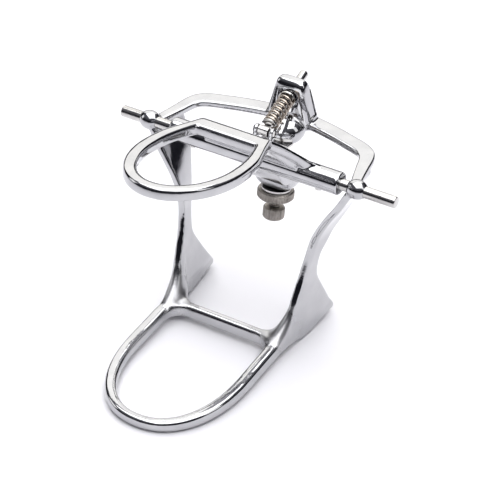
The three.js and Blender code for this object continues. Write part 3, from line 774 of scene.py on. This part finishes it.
CORNERS = [LOWER @ Vector((side * 25.5, -19, 9)) for side in (-1, 1)]
CHROME = metal("polished_chrome", (0.53, 0.53, 0.54), (0.465, 0.465, 0.48), (0.05, 0.12),
               110, 0.00012, 900, 0.000004, dull=[*CORNERS, UPPER @ Vector((0, SCREW_Y, -16))])
STEEL = metal("turned_steel", (0.60, 0.59, 0.575), (0.48, 0.47, 0.46), (0.12, 0.22),
              180, 0.00003, 2600, 0.000006, (7, 1, 1))
WIRE = metal("spring_wire", (0.60, 0.53, 0.465), (0.40, 0.345, 0.29), (0.16, 0.28),
             300, 0.00002, 3000, 0.000006)
NICKEL = metal("dull_nickel", (0.42, 0.39, 0.36), (0.25, 0.23, 0.21), (0.34, 0.52),
               260, 0.00004, 2400, 0.00002)


def finish_piece(piece, material, body, slot, *nodes):
    piece.data.materials.clear()
    piece.data.materials.append(material)
    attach(piece, body)
    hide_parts(*nodes)


# ---------------------------------------------------------------- the object
finish_piece(lower_member(), CHROME, "lower_frame", "chrome_casting",
             "lower_ring", "upright_left", "upright_right", "rear_bow", "bow_hub")
finish_piece(upper_member(), CHROME, "upper_frame", "chrome_casting",
             "upper_ring", "hinge_bridge", "hinge_barrel", "screw_boss", "pin_lug_left", "pin_lug_right")

axle_low, axle_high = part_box("axle_rod")
axle_half = (axle_high.x - axle_low.x) / MM / 2
axle = add_piece("cross_axle", [edged_cylinder((-axle_half, 0, 0), (axle_half, 0, 0), AXLE_RADIUS, 0.45)],
                 UPPER)
shade(axle)
finish_piece(axle, STEEL, "axle", "steel", "axle_rod")

finish_piece(knurled("knurled_knob", 4.75, -37.2, -31.4, 22, 0.34, 2.1), NICKEL,
             "screw_knob", "nickel", "screw_knob")
finish_piece(knurled("knurled_lock_nut", 8.0, -27.5, -23.1, 40, 0.38, 2.75), NICKEL,
             "lock_nut", "nickel", "lock_nut")
finish_piece(threaded_screw(), NICKEL, "height_screw", "nickel", "height_screw")
finish_piece(coil_spring(), WIRE, "guide_pin", "spring_wire", "return_spring")
finish_piece(guide_rod(), STEEL, "guide_pin", "steel", "guide_pin")

for node in frame["nodes"].values():
    if not node.hide_render:
        node.data.materials.clear()
        node.data.materials.append(STEEL)

# ---------------------------------------------------------------- floor, light and camera
floor = add_piece("studio_floor", [([(-6, -6, 0), (6, -6, 0), (6, 6, 0), (-6, 6, 0)], [(0, 1, 2, 3)])])
floor.location.z = -0.0002
paper, _ = new_material("floor_paper", (0.92, 0.915, 0.95), 0.7, 0.0)
floor.data.materials.append(paper)


def area_light(name, position, target, size, watts, color=(1, 1, 1)):
    data = bpy.data.lights.new(name, "AREA")
    data.shape = "RECTANGLE"
    data.size, data.size_y = size
    data.energy = watts
    data.color = color
    lamp = bpy.data.objects.new(name, data)
    lamp.location = position
    lamp.rotation_euler = (Vector(target) - Vector(position)).to_track_quat("-Z", "Y").to_euler()
    bpy.context.scene.collection.objects.link(lamp)


heart = (cad_low + cad_high) / 2
area_light("top_softbox", (0.05, 0.05, 1.15), heart, (1.6, 1.4), 21.0)
area_light("rear_softbox", (-0.6, 1.0, 0.78), heart, (1.7, 1.0), 8.6, (1.0, 0.99, 0.955))
area_light("left_softbox", (-1.15, -0.35, 0.5), heart, (0.5, 0.6), 1.3)
area_light("right_softbox", (1.1, 0.1, 0.7), heart, (0.4, 0.7), 1.2)

world = bpy.data.worlds.new("studio")
world.use_nodes = True
sky = world.node_tree
background = sky.nodes["Background"]
background.inputs["Strength"].default_value = 1.0
split = sky.nodes.new("ShaderNodeSeparateXYZ")
sky.links.new(sky.nodes.new("ShaderNodeTexCoord").outputs["Generated"], split.inputs["Vector"])
room = sky.nodes.new("ShaderNodeValToRGB")
room.color_ramp.elements[0].position = 0.30
room.color_ramp.elements[0].color = (0.015, 0.015, 0.02, 1)
room.color_ramp.elements[1].position = 0.70
room.color_ramp.elements[1].color = (0.16, 0.16, 0.18, 1)
sky.links.new(split.outputs["Z"], room.inputs["Fac"])
sky.links.new(room.outputs["Color"], background.inputs["Color"])
bpy.context.scene.world = world
bpy.context.scene.view_settings.view_transform = "Standard"

AZIMUTH, ELEVATION = math.radians(30.90), math.radians(36.91)
DISTANCE = 0.900
back = Vector((math.sin(AZIMUTH) * math.cos(ELEVATION), -math.cos(AZIMUTH) * math.cos(ELEVATION),
               math.sin(ELEVATION)))
aim = LOWER @ Vector((-0.6, 0, 29.4))
camera_data = bpy.data.cameras.new("photo_camera")
camera_data.sensor_width = 36
camera_data.lens = 152.8
camera = bpy.data.objects.new("photo_camera", camera_data)
camera.location = aim + back * DISTANCE
camera.rotation_euler = (-back).to_track_quat("-Z", "Y").to_euler()
bpy.context.scene.collection.objects.link(camera)
bpy.context.scene.camera = camera
